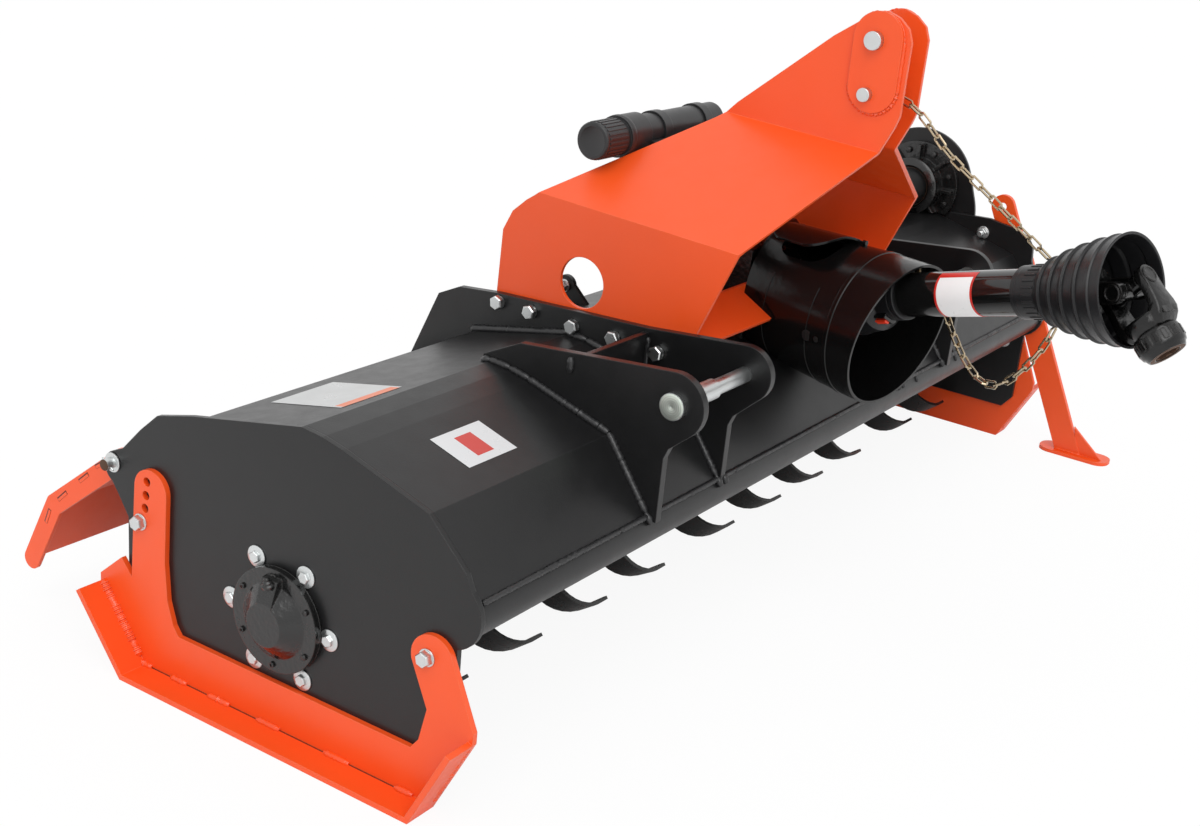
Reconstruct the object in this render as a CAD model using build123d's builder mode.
# Three-point-hitch rotary tiller, 1.8 m class, standing on its skids and its
# parking stand, with the drive shaft chained up in front of it.
# Frame: +X across the machine (drive case side), -Y to the tractor, +Z up,
# origin on the ground in the middle of the machine.  Millimetres.
import os
from math import cos, radians, sin, tan

from build123d import *

os.makedirs("parts", exist_ok=True)

# ---- driving dimensions -------------------------------------------------
rotor_z = 165.0            # rotor axis above the ground
half_width = 928.0         # centre plane to the outer face of either end plate
end_t = 8.0                # end plates
deck_t = 5.0               # folded deck sheet
skid_t = 8.0               # skid uprights and runners
runner_w = 43.0            # runner beyond the upright
tube_r = 30.0              # front tube
tube_y, tube_h = -280.0, 101.0
tine_reach = 190.0         # rotor axis to the tips
drive_h = 318.0            # cross shaft above the rotor axis
mast_t = 6.0
hitch_x = -57.0            # middle of the hitch and mast, set off to the left
mast_x = 297.0             # hitch middle to the outer face of the mast's lower panels
mast_gap = 52.0            # between the mast plates at the top link
clevis_t = 12.0
clevis_out = 495.0         # hitch middle to the outer face of the outer hitch plates
pin_y, pin_h = -323.0, 287.0
top_pin_r, low_pin_r = 12.7, 9.5
big_pin_r, small_pin_r = 14.3, 11.1
hinge_y, hinge_h = 308.0, 121.0
shield_r0, shield_ring, shield_r, shield_t = 101.0, 113.0, 114.5, 4.0
joint_y = -275.0           # centre of the shaft's rear joint
shaft_rise, shaft_swing = 17.0, 17.0
shaft_len = 525.0          # rear joint to the front joint
stand_lean = 26.5

# side views are drawn in a plane through the rotor axis, seen from +X:
# its x is the machine's y, its y the height above the rotor axis
side = Plane(origin=(0, 0, rotor_z), x_dir=(0, 1, 0), z_dir=(1, 0, 0))
inside = half_width - end_t

# ---- deck: one sheet folded over the rotor ------------------------------
# its crown keeps clear of the drive shaft's joint, whatever the height of the shaft
deck_line = [(286, 152), (140, 232), (-26, drive_h - 49), (-60, drive_h - 52),
             (-93, drive_h - 59), (-229, 220), (-301, 125)]


def deck_top(y):
    """Height of the deck's upper face over the rotor axis."""
    for (y_a, h_a), (y_b, h_b) in zip(deck_line, deck_line[1:]):
        if y_b <= y <= y_a:
            return h_a + (h_b - h_a) * (y_a - y) / (y_a - y_b)


with BuildPart() as deck:
    with BuildSketch(side.offset(-inside)):
        with BuildLine():
            Polyline(*deck_line)
            offset(amount=deck_t, side=Side.LEFT)
        make_face()
    extrude(amount=2 * inside)
    with BuildSketch(side.offset(-inside)):
        with Locations((tube_y, tube_h)):
            Circle(tube_r + 0.3)
    extrude(amount=2 * inside, mode=Mode.SUBTRACT)
deck.part.label = "deck"
export_step(deck.part, "parts/deck.step")

with BuildPart() as front_tube:
    with BuildSketch(side.offset(-inside)):
        with Locations((tube_y, tube_h)):
            Circle(tube_r)
            Circle(tube_r - 4, mode=Mode.SUBTRACT)
    extrude(amount=2 * inside)
front_tube.part.label = "front_tube"
export_step(front_tube.part, "parts/front_tube.step")

# ---- end plates ----------------------------------------------------------
rear_edge = [(240, -96), (280, -52), (280, 50), (300, 79), (311, 93)]
near_top = [(290, 146), (255, 183), (224, 211), (163, 228), (140, 233), *deck_line[2:6],
            (-289, 163), (-299, 142)]
far_top = [(290, 146), (255, 183), (224, 211), (163, 226), (60, 250), (-60, 275),
           (-168, 281), (-190, 277), (-228, 272), (-254, 260), (-267, 242), (-270, 215),
           (-299, 142)]
front_edge = [(-284, 62), (-285, -72), (-266, -96)]
end_plates = {"end_plate_left": (-half_width, near_top), "end_plate_right": (inside, far_top)}
for name, (x_start, top) in end_plates.items():
    with BuildPart() as plate:
        with BuildSketch(side.offset(x_start)):
            with BuildLine():
                Polyline(*rear_edge)
                ThreePointArc((311, 93), (324, 121), (308, 137.5))
                Line((308, 137.5), top[0])
                Polyline(*top)
                ThreePointArc(top[-1], (tube_y - tube_r - 5, tube_h), front_edge[0])
                Polyline(*front_edge)
                Line(front_edge[-1], rear_edge[0])
            make_face()
            with Locations((hinge_y, hinge_h)):
                Circle(8.1, mode=Mode.SUBTRACT)
            Circle(45, mode=Mode.SUBTRACT)
            if x_start > 0:
                with Locations((0, drive_h)):
                    Circle(92, mode=Mode.SUBTRACT)
                with Locations((-242.8, 191)):
                    Circle(6.1, mode=Mode.SUBTRACT)
        extrude(amount=end_t)
    plate.part.label = name
    export_step(plate.part, f"parts/{name}.step")

# ---- skids: upright bolted outside the end plate, runner welded to it -----
runner_line = [(328, 105), (244, 0), (-264, 0), (-322, 115)]
upright = [(328, 105), (328, 118), (286, 155), (266, 132), (259, 270)]
arm_inner = [(199, 270), (202, 174), (197, 119), (186, 87), (176, 74), (-228, 74), (-240, 90),
             (-250, 136), (-222, 196)]
for name, sign in {"skid_left": -1, "skid_right": 1}.items():
    face = half_width if sign > 0 else -half_width - skid_t
    with BuildPart() as skid:
        with BuildSketch(Plane.YZ.offset(face)):
            with BuildLine():
                Polyline(*upright)
                ThreePointArc((259, 270), (229, 300), (199, 270))
                Polyline(*arm_inner)
                ThreePointArc((-222, 196), (-248, 237), (-284, 214))
                Polyline((-284, 214), (-322, 131), (-322, 115))
                Polyline((-322, 115), (-264, 0), (244, 0), (328, 105))
            make_face()
            for hy, hz in [(235, 282), (237, 262), (239, 243)]:
                with Locations((hy, hz)):
                    Circle(6.5, mode=Mode.SUBTRACT)
        extrude(amount=skid_t)
        edge = half_width + skid_t if sign > 0 else -half_width - skid_t - runner_w
        with BuildSketch(Plane.YZ.offset(edge)):
            with BuildLine():
                Polyline(*runner_line)
                offset(amount=skid_t, side=Side.RIGHT)
            make_face()
        extrude(amount=runner_w)
    skid.part.label = name
    export_step(skid.part, f"parts/{name}.step")

# ---- rotor: tube with tine flanges, stub shafts in the end bearings -------
flange_count, flange_r = 10, 84.0
tube_half = inside - 20
flange_step = (2 * tube_half - 170) / (flange_count - 1)
flange_xs = [-tube_half + 85 + flange_step * i for i in range(flange_count)]
with BuildPart() as rotor:
    with BuildSketch(side.offset(-tube_half)):
        Circle(38)
    extrude(amount=2 * tube_half)
    with BuildSketch(side.offset(-half_width - 26)):
        Circle(20)
    extrude(amount=2 * half_width + 48)
    for x_f in flange_xs:
        with BuildSketch(side.offset(x_f - 5)):
            Circle(flange_r)
        extrude(amount=10)
rotor.part.label = "rotor"
export_step(rotor.part, "parts/rotor.step")

# each flange carries four curved tines, alternately bent left and right, and
# each flange is turned a little from the last
tine_root, tine_bend, tine_w, tine_t = 48.0, 0.66 * tine_reach, 50.0, 7.0
tine_top = tine_reach - 6
with BuildPart(mode=Mode.PRIVATE) as tine:
    with BuildSketch(Plane.XZ.offset(-70)):
        with BuildLine():
            Polyline((0, tine_root), (0, tine_bend), (4, tine_bend + 20), (14, tine_bend + 38),
                     (30, tine_top - 8), (50, tine_top - 2), (86, tine_top), (86, tine_top - 6),
                     (52, tine_top - 9), (34, tine_top - 15), (20, tine_bend + 34),
                     (11, tine_bend + 17), (tine_t, tine_bend - 2), (tine_t, tine_root),
                     close=True)
        make_face()
    extrude(amount=140)
    with BuildSketch(Plane.YZ.offset(-5)):
        with BuildLine():
            Polyline((22, 40), (24, 90), (32, tine_bend), (42, tine_top - 14),
                     (44, tine_top + 2), (14, tine_top + 2), (-4, tine_top - 20), (-16, tine_bend),
                     (-22, 90), (-22, 40), close=True)
        make_face()
    extrude(amount=100, mode=Mode.INTERSECT)
tines = []
for i, x_f in enumerate(flange_xs):
    for j in range(4):
        turn = 54 + 90 * j + 3.5 * (i % 4 - 1.5)
        right = tine.part.rotate(Axis.X, turn).translate((x_f + 5.3, 0, rotor_z))
        left = tine.part.mirror(Plane.YZ).rotate(Axis.X, turn).translate((x_f - 5.3, 0, rotor_z))
        tines.append(right if (i + j) % 2 == 0 else left)
tine_set = Compound(label="tines", children=tines)
export_step(tine_set, "parts/tines.step")

# ---- left bearing housing ----------------------------------------------------
# a flange, a cone to a flat tip and a rib up to the boss of the grease nipple
hub_tip = half_width + 31
with BuildPart() as hub_cap:
    with BuildSketch(side.offset(-half_width - 12)):
        Circle(72)
    extrude(amount=12)
    with BuildSketch(side.offset(-half_width - 12)):
        Circle(52)
    with BuildSketch(side.offset(-hub_tip)):
        Circle(29)
    loft()
    with BuildSketch(Plane.XZ.offset(-13)):
        with BuildLine():
            Polyline((-half_width - 12, rotor_z + 10), (-half_width - 12, rotor_z + 63),
                     (-half_width - 21, rotor_z + 61), (-hub_tip, rotor_z + 30),
                     (-hub_tip, rotor_z + 10), close=True)
        make_face()
    extrude(amount=26)
    with BuildSketch(side.offset(-half_width - 26.5)):
        Circle(20.05)
    extrude(amount=27, mode=Mode.SUBTRACT)
hub_cap.part.label = "hub_cap"
export_step(hub_cap.part, "parts/hub_cap.step")

# ---- drive case on the right end plate --------------------------------------
case_rounds = [(drive_h, 114.0), (265.0, 132.0), (0.0, 78.0)]
with BuildPart() as case_plate:
    with BuildSketch(side.offset(half_width)):
        for ch, cr in case_rounds:
            with Locations((0, ch)):
                Circle(cr)
        make_hull()
        Circle(30, mode=Mode.SUBTRACT)
        with Locations((0, drive_h)):
            Circle(30, mode=Mode.SUBTRACT)
    extrude(amount=6)
case_plate.part.label = "case_plate"
export_step(case_plate.part, "parts/case_plate.step")

case_depth = skid_t + runner_w - 6
with BuildPart() as case_cover:
    with BuildSketch(side.offset(half_width + 6)):
        for ch, cr in case_rounds:
            with Locations((0, ch)):
                Circle(cr - 27)
        make_hull()
    extrude(amount=case_depth)
    with BuildSketch(side.offset(half_width + 6)):
        for ch, cr in case_rounds:
            with Locations((0, ch)):
                Circle(cr - 31)
        make_hull()
    extrude(amount=case_depth - 4, mode=Mode.SUBTRACT)
case_cover.part.label = "case_cover"
export_step(case_cover.part, "parts/case_cover.step")

# rotor bearings inside the end plates
with BuildPart() as rotor_bearings:
    for x_b in (-inside, inside - 14):
        with BuildSketch(side.offset(x_b)):
            Circle(86)
            Circle(20.05, mode=Mode.SUBTRACT)
        extrude(amount=14)
rotor_bearings.part.label = "rotor_bearings"
export_step(rotor_bearings.part, "parts/rotor_bearings.step")

# cast flange that carries the cross shaft at the case
with BuildPart() as drive_flange:
    with BuildSketch(side.offset(half_width - 12)):
        with Locations((0, drive_h)):
            Circle(88)
    extrude(amount=12)
    with BuildSketch(side.offset(half_width - 44)):
        with Locations((0, drive_h)):
            Circle(56)
    extrude(amount=32)
    with BuildSketch(side.offset(half_width - 30)):
        with Locations((0, drive_h)):
            with PolarLocations(68, 8):
                Rectangle(30, 7)
    extrude(amount=18)
    with BuildSketch(side.offset(half_width - 44)):
        with Locations((0, drive_h)):
            Circle(38)
    extrude(amount=30, mode=Mode.SUBTRACT)
    with BuildSketch(side.offset(half_width - 44)):
        with Locations((0, drive_h)):
            Circle(28)
        with Locations((0, deck_line[2][1] + 0.5 - flange_r)):
            Rectangle(240, 2 * flange_r)
    extrude(amount=44, mode=Mode.SUBTRACT)
drive_flange.part.label = "drive_flange"
export_step(drive_flange.part, "parts/drive_flange.step")

# ---- gearbox over the deck, with the tube of the cross shaft ------------------
box_w, box_front, box_rear = 88.0, -165.0, 85.0
with BuildPart() as gearbox:
    with BuildSketch(side.offset(-box_w)):
        with BuildLine():
            Polyline((box_rear, 380), (box_rear, deck_top(box_rear) + 0.1),
                     *[(y, h + 0.1) for y, h in deck_line[2:5]],
                     (box_front, deck_top(box_front) + 0.1), (box_front, 380),
                     (box_front + 20, 400), (box_rear - 20, 400), close=True)
        make_face()
    extrude(amount=2 * box_w)
    for x_b in (-box_w - 12, box_w):
        with BuildSketch(side.offset(x_b)):
            with Locations((0, drive_h)):
                Circle(46)
        extrude(amount=12)
    with BuildSketch(Plane.XZ.offset(-box_front)):
        with Locations((0, rotor_z + drive_h)):
            Circle(54)
    extrude(amount=20)
    with BuildSketch(Plane.XZ.offset(-box_front + 20)):
        with Locations((0, rotor_z + drive_h)):
            Circle(17.5)
    extrude(amount=39.5)
gearbox.part.label = "gearbox"
export_step(gearbox.part, "parts/gearbox.step")

with BuildPart() as cross_tube:
    with BuildSketch(side.offset(box_w + 12)):
        with Locations((0, drive_h)):
            Circle(38)
    extrude(amount=half_width - 14 - box_w - 12)
cross_tube.part.label = "cross_tube"
export_step(cross_tube.part, "parts/cross_tube.step")

# ---- lower hitch: a long inner and a short outer plate on each side -----------
inner_plate = [(268, 161.9), (219, 272), (181, 291), (107, 299), (-158, 312), (-320, 328)]
inner_front = [(-348, 255), (-313, 222), (-307, 207), (-307, 100), (-303, 100)]
outer_plate = [(-12, 265.9), (-12, 276), (-73, 307), (-319, 332)]
outer_front = [(-352, 252), (-322, 226), (-316, 211), (-316, 118), (-303, 118)]
deck_rise = deck_line[:0:-1]
hitch_plates = [("inner", clevis_out - 186, inner_plate, 41, inner_front, deck_rise, small_pin_r),
                ("outer", clevis_out - clevis_t, outer_plate, 45, outer_front, deck_rise[:5],
                 big_pin_r)]
for kind, x_in, top, nose, front, base, bore in hitch_plates:
    with BuildPart() as plates:
        for sign in (-1, 1):
            x_near = x_in - clevis_t if kind == "inner" else x_in
            x_face = x_near if sign > 0 else -x_near - clevis_t
            with BuildSketch(side.offset(hitch_x + x_face)):
                with BuildLine():
                    Polyline(*top)
                    ThreePointArc(top[-1], (pin_y - nose, pin_h), front[0])
                    Polyline(*front)
                    Line(front[-1], base[0])
                    Polyline(*base)
                    Line(base[-1], top[0])
                make_face()
                with Locations((tube_y, tube_h)):
                    Circle(tube_r + 0.3, mode=Mode.SUBTRACT)
                with Locations((pin_y, pin_h)):
                    Circle(bore + 0.1, mode=Mode.SUBTRACT)
                if kind == "inner" and sign > 0:
                    with Locations((0, drive_h)):
                        Circle(42, mode=Mode.SUBTRACT)
            extrude(amount=clevis_t)
    plates.part.label = f"hitch_{kind}_plates"
    export_step(plates.part, f"parts/hitch_{kind}_plates.step")

# gussets between the plates
with BuildPart() as hitch_gussets:
    for x_a in (clevis_out - 186, -clevis_out + clevis_t):
        with BuildSketch(side.offset(hitch_x + x_a)):
            with BuildLine():
                Polyline((-154, 241.55), (-162, 239.25), (-162, 306), (-154, 306), close=True)
            make_face()
        extrude(amount=186 - clevis_t)
hitch_gussets.part.label = "hitch_gussets"
export_step(hitch_gussets.part, "parts/hitch_gussets.step")

# stepped hitch pins with flat heads
step_x = clevis_out - 97
pin_steps = [(clevis_out, clevis_out + 7, 18.5), (step_x, clevis_out, big_pin_r),
             (clevis_out - 222, step_x, small_pin_r)]
with BuildPart() as hitch_pins:
    for sign in (-1, 1):
        for x_a, x_b, r in pin_steps:
            with BuildSketch(side.offset(hitch_x + (x_a if sign > 0 else -x_b))):
                with Locations((pin_y, pin_h)):
                    Circle(r)
            extrude(amount=x_b - x_a)
hitch_pins.part.label = "hitch_pins"
export_step(hitch_pins.part, "parts/hitch_pins.step")

# ---- mast: two folded plates, mirrored -----------------------------------------
# the folds fall a little towards the front; their heights are those at the rear plane
fold_low, fold_high, fold_fall, fold_y = 467.0, 592.0, 2.8, 170.0
top_pin, low_pin = (-318, 722), (-316, 646)
mast_side = [(118, 272), (118, 296), (115, 394), (100, 425), (76, 447), (63, 456), (-83, 572),
             (-108, 598), (-250, 718), (-294, 749), (-311, 760), (-327, 764), (-347, 757),
             (-363, 744), (-370, 726), (-370, 623), (-365, 607), (-346, 565), (-284, 446),
             (-233, 320), (-215, 272)]
half_gap = mast_gap / 2 + mast_t
fall = radians(fold_fall)
across_mast = Plane(origin=(hitch_x, fold_y, rotor_z), x_dir=(1, 0, 0),
                    z_dir=(0, -cos(fall), -sin(fall)))
for name, sign in {"mast_left": -1, "mast_right": 1}.items():
    with BuildPart() as mast:
        with BuildSketch(across_mast):
            with BuildLine():
                Polyline((sign * mast_x, 230), (sign * mast_x, fold_low),
                         (sign * half_gap, fold_high), (sign * half_gap, 820))
                offset(amount=mast_t, side=Side.RIGHT if sign < 0 else Side.LEFT)
            make_face()
        extrude(amount=600)
        with BuildSketch(side.offset(hitch_x - mast_x - 10)):
            with BuildLine():
                Polyline(*mast_side, close=True)
            make_face()
            hole = (0, drive_h, 44) if sign > 0 else (-33, 346, 38)
            with Locations(hole[:2]):
                Circle(hole[2], mode=Mode.SUBTRACT)
            with Locations(top_pin):
                Circle(top_pin_r + 0.1, mode=Mode.SUBTRACT)
            with Locations(low_pin):
                Circle(low_pin_r + 0.1, mode=Mode.SUBTRACT)
        extrude(amount=2 * mast_x + 20, mode=Mode.INTERSECT)
    mast.part.label = name
    export_step(mast.part, f"parts/{name}.step")

with BuildPart() as mast_doublers:
    for x_d in (hitch_x - half_gap - 6, hitch_x + half_gap):
        with BuildSketch(side.offset(x_d)):
            with Locations(Location((low_pin[0] - 6, (top_pin[1] + low_pin[1]) / 2 + 8), 89)):
                SlotCenterToCenter(66, 76)
            with Locations(top_pin):
                Circle(top_pin_r + 0.1, mode=Mode.SUBTRACT)
            with Locations(low_pin):
                Circle(low_pin_r + 0.1, mode=Mode.SUBTRACT)
        extrude(amount=6)
mast_doublers.part.label = "mast_doublers"
export_step(mast_doublers.part, "parts/mast_doublers.step")

with BuildPart() as mast_pins:
    for pin, pr in [(top_pin, top_pin_r), (low_pin, low_pin_r)]:
        with BuildSketch(side.offset(hitch_x - 50)):
            with Locations(pin):
                Circle(pr)
        extrude(amount=100)
mast_pins.part.label = "mast_pins"
export_step(mast_pins.part, "parts/mast_pins.step")

# cross plate between the lower panels, bolted to the gearbox face, with a
# lip sloping forward on either side of the shield
cross_y = box_front
with BuildPart() as mast_cross:
    with BuildSketch(side.offset(hitch_x - mast_x + mast_t)):
        with BuildLine():
            Polyline((cross_y, 274), (cross_y, 332), (cross_y - 6, 332), (-234, 298),
                     (-231, 293), (cross_y - 6, 325), (cross_y - 6, 274), close=True)
        make_face()
    extrude(amount=2 * (mast_x - mast_t))
    with BuildSketch(Plane.XZ.offset(-cross_y + 6)):
        with Locations((0, rotor_z + 300)):
            Rectangle(260, 250)
    extrude(amount=150, mode=Mode.SUBTRACT)
    with BuildSketch(Plane.XZ.offset(-cross_y)):
        with Locations((0, rotor_z + drive_h)):
            Circle(55)
    extrude(amount=6, mode=Mode.SUBTRACT)
mast_cross.part.label = "mast_cross"
export_step(mast_cross.part, "parts/mast_cross.step")

# ---- papers canister behind the mast ---------------------------------------------
# its bracket's strip ends at the slanted mast panels, and so sets its height
can_y, strip_half, strip_drop = 10.5, 120.9, 1.32
strip_y = can_y - 50
can_h = (fold_low + (fold_high - fold_low) * (mast_x - strip_half) / (mast_x - half_gap)
         - (fold_y - strip_y) * tan(fall) - strip_drop)
can_left, can_right, cap_lip, cap_end = hitch_x - 122, hitch_x + 98, 54.0, 60.0
with BuildPart() as canister:
    with BuildSketch(side.offset(can_left)):
        with Locations((can_y, can_h)):
            Circle(26)
    extrude(amount=can_right - can_left)
canister.part.label = "canister"
export_step(canister.part, "parts/canister.step")
with BuildPart() as canister_cap:
    for x_a, x_b, r in [(can_left - cap_lip - cap_end, can_left - cap_lip, 27.5),
                        (can_left - cap_lip, can_left, 31)]:
        with BuildSketch(side.offset(x_a)):
            with Locations((can_y, can_h)):
                Circle(r)
        extrude(amount=x_b - x_a)
canister_cap.part.label = "canister_cap"
export_step(canister_cap.part, "parts/canister_cap.step")
# a strip between the slanted mast panels with two bands round the canister
with BuildPart() as canister_bracket:
    with BuildSketch(side.offset(hitch_x - strip_half)):
        with Locations((strip_y, can_h - 9.7)):
            Rectangle(50, 5)
    extrude(amount=2 * strip_half)
    for x_a in (hitch_x - 80, hitch_x + 40):
        with BuildSketch(side.offset(x_a)):
            with Locations((can_y, can_h)):
                Circle(29)
            with Locations((can_y - 40, can_h - 9.7)):
                Rectangle(80, 5)
        extrude(amount=20)
    with BuildSketch(side.offset(can_left - 10)):
        with Locations((can_y, can_h)):
            Circle(26.2)
    extrude(amount=260, mode=Mode.SUBTRACT)
canister_bracket.part.label = "canister_bracket"
export_step(canister_bracket.part, "parts/canister_bracket.step")

# ---- shield over the drive shaft's rear joint: a soft cone that leans ------------
shield_back = -cross_y + 6
shield_root = Vector(-8, cross_y - 17, rotor_z + drive_h - 10)
shield_mouth = shield_root + Vector(-42, -227, -9)
shield_axis = (shield_mouth - shield_root).normalized()
shield_s = (shield_mouth - shield_root).length
ring_s = 0.75 * shield_s
shield_up = (Vector(0, 0, 1) - shield_axis * shield_axis.Z).normalized()
shield_left = shield_axis.cross(shield_up)


def shield_radial(angle):
    """The direction out from the shield's axis, turned from the top to the left."""
    return shield_up * cos(radians(angle)) + shield_left * sin(radians(angle))


def shield_wall(outer, inner, angle, first, last):
    """A piece of the cone's wall between two radii over the wall, from an angle on."""
    out = shield_radial(angle)
    with BuildSketch(Plane(origin=shield_root, x_dir=out, z_dir=out.cross(shield_axis))) as wall:
        with BuildLine():
            edge = [(shield_r0 + (shield_ring - shield_r0) * s / ring_s, s) for s in (first, last)]
            Polyline(*[(r + outer, s) for r, s in edge],
                     *[(r + inner, s) for r, s in reversed(edge)], close=True)
        make_face()
    return wall.sketch


# a flap over the hand hole turns on a strip along the wall and stands a little open
door_first, door_last, door_hinge, door_width, door_raise = 15.0, 125.0, -8.0, 55.0, 20.0
across_door = Plane(origin=shield_root + shield_axis * (door_first + door_last) / 2,
                    x_dir=shield_axis, z_dir=shield_radial(door_hinge + door_width / 2))
shield_line = Axis(shield_root, shield_axis)
hinge_line = Axis(shield_root + shield_radial(door_hinge) * (shield_r0 + 3.6),
                  shield_axis * ring_s + shield_radial(door_hinge) * (shield_ring - shield_r0))
across_hinge = Plane(origin=hinge_line.position, z_dir=hinge_line.direction)
hinge_strip = shield_wall(4, -1, door_hinge - 6.5, door_first, door_last)
door_wall = shield_wall(4.4, 0.8, door_hinge, door_first, door_last)
with BuildPart() as shield:
    with BuildSketch(Plane(origin=shield_root, x_dir=shield_up,
                           z_dir=shield_up.cross(shield_axis))):
        with BuildLine():
            Polyline((shield_r0 - 4, -40), (shield_r0, 0), (shield_ring, ring_s),
                     (shield_ring + 1.2, ring_s + 1), (shield_ring + 1.2, ring_s + 7),
                     (shield_ring + 0.3, ring_s + 8), (shield_r, shield_s),
                     (shield_r + 1, shield_s + 60), (shield_r + 1 - shield_t, shield_s + 60),
                     (shield_r - shield_t, shield_s), (shield_ring - shield_t, ring_s),
                     (shield_r0 - shield_t, 0), (shield_r0 - 4 - shield_t, -40), close=True)
        make_face()
    revolve(axis=shield_line)
    split(bisect_by=Plane(origin=shield_mouth, z_dir=(-0.2, -1, -0.19)), keep=Keep.BOTTOM)
    revolve(hinge_strip.faces(), axis=shield_line, revolution_arc=3.5)
    for s_a, s_b, r in [(door_first - 5, door_last + 5, 2), (door_first - 8, door_first - 2, 4),
                        (door_last + 2, door_last + 8, 4)]:
        with BuildSketch(across_hinge.offset(s_a)):
            Circle(r)
        extrude(amount=s_b - s_a)
    with BuildSketch(across_door.offset(60)):
        with Locations((1.5, 0)):
            RectangleRounded(door_last - door_first - 17, 74, 30)
    extrude(amount=80, mode=Mode.SUBTRACT)
    with BuildSketch(Plane.XZ.offset(shield_back + 0.2)):
        with Locations((-6, rotor_z + drive_h - 9)):
            Circle(shield_r0 - 3.5)
        with Locations((0, rotor_z + drive_h)):
            Circle(60, mode=Mode.SUBTRACT)
    extrude(amount=4)
    with BuildSketch(side.offset(-160)):
        with BuildLine():
            Polyline((-shield_back - 0.2, 450), (-shield_back - 0.2, deck_top(-shield_back) + 0.3),
                     (deck_line[5][0], deck_line[5][1] + 0.2), (deck_line[6][0], deck_line[6][1] + 0.2),
                     (deck_line[6][0], 60), (-60, 60), (-60, 450), close=True)
        make_face()
    extrude(amount=320, mode=Mode.SUBTRACT)
shield.part.label = "shield"
export_step(shield.part, "parts/shield.step")

with BuildPart() as door_flat:
    revolve(door_wall.faces(), axis=shield_line, revolution_arc=door_width)
    with BuildSketch(across_door.offset(60)):
        outline = Rectangle(door_last - door_first, 102)
        fillet(outline.vertices().group_by(Axis.Y)[0], 38)
    extrude(amount=80, mode=Mode.INTERSECT)
    with BuildSketch(across_hinge.offset(door_first + 6)):
        Circle(3.2)
    extrude(amount=door_last - door_first - 12)
    with BuildSketch(across_hinge.offset(door_first - 5)):
        Circle(2.05)
    extrude(amount=door_last - door_first + 10, mode=Mode.SUBTRACT)
shield_door = door_flat.part.rotate(hinge_line, -door_raise)
shield_door.label = "shield_door"
export_step(shield_door, "parts/shield_door.step")

# ---- drive shaft: frames along the shaft and along the hanging end yoke ----------
rise, swing = radians(shaft_rise), radians(shaft_swing)
shaft_dir = Vector(-sin(swing) * cos(rise), -cos(swing) * cos(rise), sin(rise))
level_dir = Vector(cos(swing), -sin(swing), 0)
upper_dir = shaft_dir.cross(level_dir)
rear_joint = Vector(0, joint_y, rotor_z + drive_h)
cross_at = shaft_len
front_joint = rear_joint + shaft_dir * cross_at
shaft = Plane(origin=rear_joint, x_dir=level_dir, z_dir=shaft_dir)
droop = radians(40)
end_dir = Vector(-sin(swing) * cos(droop), -cos(swing) * cos(droop), -sin(droop))
rear_pin = Vector(1, 0, 0).cross(shaft_dir).normalized()

# yokes: two ears, a base and a hub; the joint centre is the plane's origin
ear_in, ear_out, ear_w, base_z = 26.0, 38.0, 30.0, 46.0
yokes = [
    ("yoke_gearbox", Plane(origin=rear_joint, x_dir=(1, 0, 0), z_dir=(0, 1, 0)), 72, 17.55),
    ("yoke_shaft_rear", Plane(origin=rear_joint, x_dir=rear_pin, z_dir=shaft_dir), 76, 0),
    ("yoke_shaft_front", Plane(origin=front_joint, x_dir=level_dir, z_dir=shaft_dir * -1), 76, 0),
    ("end_yoke", Plane(origin=front_joint, x_dir=end_dir.cross(level_dir), z_dir=end_dir),
     100, 17.5),
]
for name, at, hub_end, bore in yokes:
    across = Plane(origin=at.origin, x_dir=at.z_dir, z_dir=at.x_dir)
    with BuildPart() as yoke:
        for x_e in (-ear_out, ear_in):
            with BuildSketch(across.offset(x_e)):
                Circle(ear_w / 2)
                with Locations((base_z / 2, 0)):
                    Rectangle(base_z, ear_w)
                Circle(8.05, mode=Mode.SUBTRACT)
            extrude(amount=ear_out - ear_in)
        with BuildSketch(at.offset(base_z - 1)):
            Circle(31)
            Rectangle(2 * ear_out, ear_w)
        extrude(amount=11)
        with BuildSketch(at.offset(base_z + 9)):
            Circle(26)
        extrude(amount=hub_end - base_z - 9)
        if name == "end_yoke":
            with BuildSketch(at.offset(hub_end - 30)):
                Circle(30)
            extrude(amount=22)
        if bore:
            with BuildSketch(at.offset(hub_end)):
                Circle(bore)
            extrude(amount=-(hub_end - base_z - 4), mode=Mode.SUBTRACT)
    yoke.part.label = name
    export_step(yoke.part, f"parts/{name}.step")

crosses = [("cross_rear", rear_joint, Vector(1, 0, 0), rear_pin),
           ("cross_front", front_joint, level_dir, end_dir.cross(level_dir))]
for name, centre, first, second in crosses:
    with BuildPart() as cross:
        for along, other in ((first, second), (second, first)):
            with BuildSketch(Plane(origin=centre - along * 38, x_dir=other, z_dir=along)):
                Circle(8)
            extrude(amount=76)
            with BuildSketch(Plane(origin=centre - along * 22, x_dir=other, z_dir=along)):
                Circle(12)
            extrude(amount=44)
    cross.part.label = name
    export_step(cross.part, f"parts/{name}.step")

with BuildPart() as shaft_rod:
    with BuildSketch(shaft.offset(76)):
        Circle(20)
    extrude(amount=cross_at - 152)
shaft_rod.part.label = "shaft_rod"
export_step(shaft_rod.part, "parts/shaft_rod.step")

# guards turn on rings round the rod
guard_tube_end = shaft_len - 139
with BuildPart() as guard_tube:
    with BuildSketch(shaft.offset(114)):
        Circle(33)
        Circle(30, mode=Mode.SUBTRACT)
    extrude(amount=guard_tube_end - 114)
guard_tube.part.label = "guard_tube"
export_step(guard_tube.part, "parts/guard_tube.step")

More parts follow.
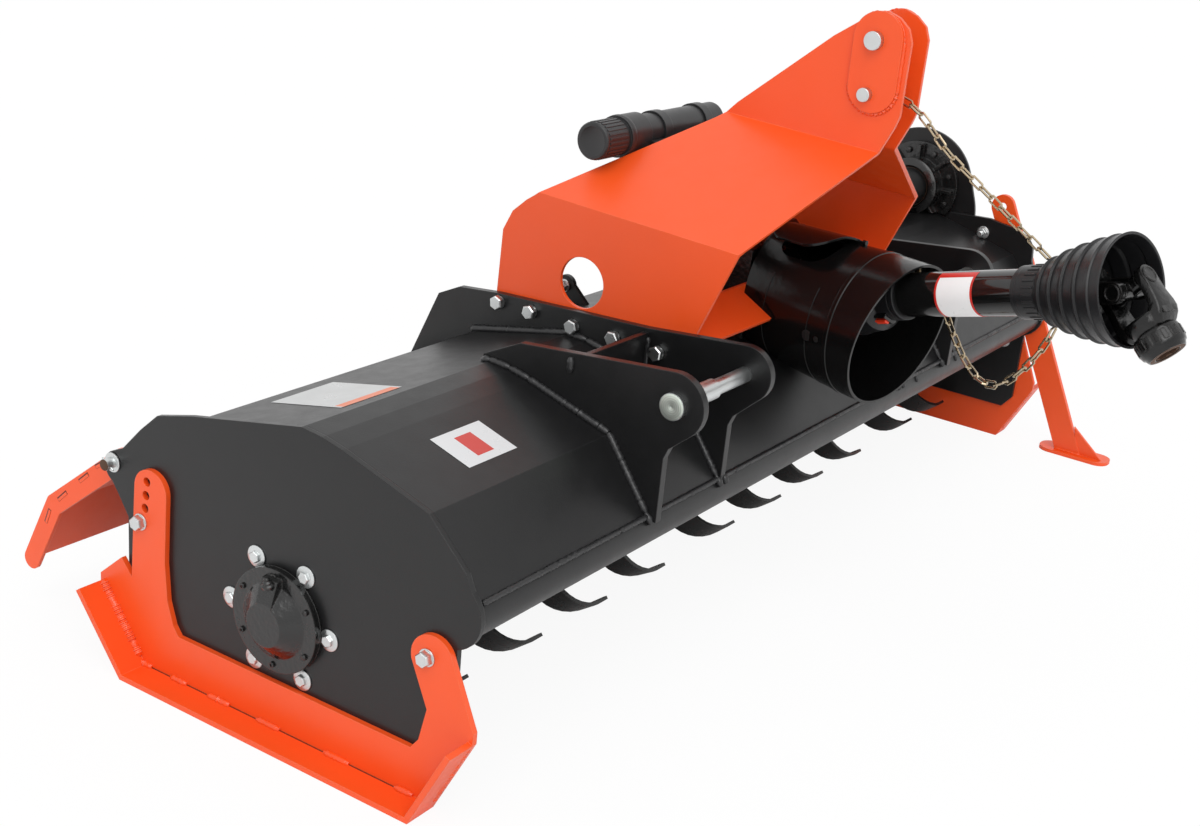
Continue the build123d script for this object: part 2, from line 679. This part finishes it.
cone_section = Plane(origin=rear_joint, x_dir=upper_dir, z_dir=level_dir)
front_cone = [(shaft_len + s, r) for s, r in
              [(-157, 38), (-125, 38), (-117, 45), (-111, 49), (-109, 46), (-93, 54), (-87, 58),
               (-85, 55), (-69, 61), (-63, 65), (-61, 62), (-43, 67), (-38, 71), (-36, 68),
               (-19, 73), (-14, 75), (-12, 73), (2, 76), (5, 77)]]
rear_cone = [(136, 38), (108, 38), (102, 46), (96, 53), (64, 58), (60, 60), (56, 58), (26, 61)]
for name, outline, web in [("guard_cone_front", front_cone, shaft_len - 135),
                           ("guard_cone_rear", rear_cone, 111)]:
    step = 6 if name == "guard_cone_front" else -6
    with BuildPart() as cone:
        with BuildSketch(cone_section):
            with BuildLine():
                Polyline(*[(r, s) for s, r in outline],
                         *[(max(r - 3.5, 33.3), s) for s, r in reversed(outline)], close=True)
            make_face()
            with Locations((27.9, web)):
                Rectangle(15, 5)
        revolve(axis=Axis(rear_joint, shaft_dir))
    cone.part.label = name
    export_step(cone.part, f"parts/{name}.step")

# ---- chains: links of bent wire set along a curve, every other one turned ---------
wire_r, link_len, link_w = 1.7, 23.6, 9.6
with BuildPart(mode=Mode.PRIVATE) as link:
    half_l, half_w, cut = link_len / 2, link_w / 2, 3.2
    with BuildLine() as loop:
        Polyline((0, half_w), (half_l - cut, half_w), (half_l, half_w - cut),
                 (half_l, cut - half_w), (half_l - cut, -half_w), (cut - half_l, -half_w),
                 (-half_l, cut - half_w), (-half_l, half_w - cut), (cut - half_l, half_w),
                 close=True)
    with BuildSketch(Plane.YZ) as wire:
        with Locations((half_w, 0)):
            RegularPolygon(wire_r, 6)
    sweep(sections=wire.sketch, path=loop.wires()[0], transition=Transition.RIGHT)
pitch = link_len - 2 * wire_r - 0.5
upper_pin = Vector(hitch_x, low_pin[0] - 14.5, rotor_z + low_pin[1] - 2)
upper_edge = Vector(hitch_x + 1, low_pin[0] - 56, rotor_z + low_pin[1] - 10)
upper_end = front_joint - shaft_dir * 123 + upper_dir * 45.3
chain_ends = {
    "chain_upper": [upper_pin, upper_edge,
                    *[upper_edge + (upper_end - upper_edge) * t - Vector(0, 0, drop)
                      for t, drop in ((0.25, 7), (0.5, 6), (0.75, 3), (1, 0))]],
    "chain_lower": [rear_joint + shaft_dir * 131 + upper_dir * 52,
                    rear_joint + shaft_dir * 154 + level_dir * 44 + upper_dir * 10,
                    rear_joint + shaft_dir * 205 + level_dir * 26 - upper_dir * 60,
                    rear_joint + shaft_dir * 285 + level_dir * 6 - upper_dir * 132,
                    front_joint - shaft_dir * 175 + level_dir * 2 - upper_dir * 106,
                    front_joint - shaft_dir * 121 - upper_dir * 50],
}
for name, through in chain_ends.items():
    with BuildLine(mode=Mode.PRIVATE) as run:
        Spline(*through)
    curve = run.edges()[0]
    count = int(curve.length / pitch)
    links = []
    for i in range(count):
        here = curve.position_at((i + 0.5) / count)
        ahead = curve.tangent_at((i + 0.5) / count)
        level = ahead.cross(Vector(0, 0, 1)).normalized()
        aside = level if i % 2 else level.cross(ahead)
        links.append(link.part.moved(Plane(origin=here, x_dir=ahead, z_dir=aside).location))
    chain = Compound(label=name, children=links)
    export_step(chain, f"parts/{name}.step")

# ---- tailgate on its long hinge rod ----------------------------------------------
with BuildPart() as hinge_rod:
    with BuildSketch(side.offset(-half_width - 16)):
        with Locations((hinge_y, hinge_h)):
            Circle(8)
    extrude(amount=2 * half_width + 32)
hinge_rod.part.label = "hinge_rod"
export_step(hinge_rod.part, "parts/hinge_rod.step")

gate_bend, gate_tip = (450, 8), (502, -94)
gate_half = inside - 6
with BuildPart() as tailgate:
    with BuildSketch(side.offset(-gate_half + 6)):
        with BuildLine():
            Polyline((330, 103.5), gate_bend, gate_tip)
            offset(amount=4, side=Side.LEFT)
        make_face()
    extrude(amount=2 * gate_half - 12)
tailgate.part.label = "tailgate"
export_step(tailgate.part, "parts/tailgate.step")

with BuildPart() as tailgate_sides:
    for x_s in (-gate_half, gate_half - 6):
        with BuildSketch(side.offset(x_s)):
            with Locations(Location((379, 64.5), -38.5)):
                SlotCenterToCenter(181.5, 30)
            with Locations(Location((476, -43), -63)):
                SlotCenterToCenter(114.5, 30)
            with Locations((hinge_y, hinge_h)):
                Circle(8.1, mode=Mode.SUBTRACT)
        extrude(amount=6)
tailgate_sides.part.label = "tailgate_sides"
export_step(tailgate_sides.part, "parts/tailgate_sides.step")

# ---- parking stand: leaning bar in a sleeve outside the right end plate -----------
lean = radians(stand_lean)
bar_w, bar_t, bar_x = 48.0, 10.0, half_width + 6
top_y, top_z = -185.0, 472.0
base_y = top_y - (top_z - 7) * tan(lean)
pin_z = 356.0
pin_at = (top_y - (top_z - pin_z) * tan(lean), pin_z)
with BuildPart() as stand:
    with BuildSketch(Plane.YZ.offset(bar_x)):
        with BuildLine():
            Polyline((base_y - bar_w / 2 / cos(lean), 7), (base_y + bar_w / 2 / cos(lean), 7),
                     (top_y + bar_w / 2 * cos(lean), top_z - bar_w / 2 * sin(lean)),
                     (top_y - bar_w / 2 * cos(lean), top_z + bar_w / 2 * sin(lean)), close=True)
        make_face()
        with Locations((top_y, top_z)):
            Circle(bar_w / 2)
            Circle(8, mode=Mode.SUBTRACT)
        with Locations(Location((pin_at[0] - 30 * sin(lean), pin_z - 30 * cos(lean)),
                                90 - stand_lean)):
            SlotCenterToCenter(60, 14, mode=Mode.SUBTRACT)
    extrude(amount=bar_t)
    with BuildSketch(Plane.YZ.offset(bar_x + 2)):
        with BuildLine():
            Polyline((base_y - 20, 7), (base_y - 72, 7), (base_y - 4, 62), close=True)
        make_face()
    extrude(amount=6)
    with BuildSketch(Plane.XY):
        with Locations((bar_x + 14, base_y - 12)):
            RectangleRounded(58, 146, 26)
    extrude(amount=7)
stand.part.label = "stand"
export_step(stand.part, "parts/stand.step")

sleeve_z = 368.0
sleeve_y = top_y - (top_z - sleeve_z) * tan(lean)
sleeve = Plane(origin=(half_width + 11, sleeve_y, sleeve_z), x_dir=(1, 0, 0),
               z_dir=(0, sin(lean), cos(lean)))
with BuildPart() as stand_sleeve:
    with BuildSketch(sleeve.offset(-45)):
        Rectangle(22, 58)
        Rectangle(12, 50, mode=Mode.SUBTRACT)
    extrude(amount=90)
    with BuildSketch(Plane.YZ.offset(half_width)):
        with Locations(pin_at):
            Circle(6.1)
    extrude(amount=30, mode=Mode.SUBTRACT)
stand_sleeve.part.label = "stand_sleeve"
export_step(stand_sleeve.part, "parts/stand_sleeve.step")

with BuildPart() as stand_pin:
    with BuildSketch(Plane.YZ.offset(inside + 1)):
        with Locations(pin_at):
            Circle(6)
    extrude(amount=39)
    with BuildSketch(Plane.YZ.offset(half_width + 22)):
        with Locations(pin_at):
            Circle(11)
    extrude(amount=5)
stand_pin.part.label = "stand_pin"
export_step(stand_pin.part, "parts/stand_pin.step")
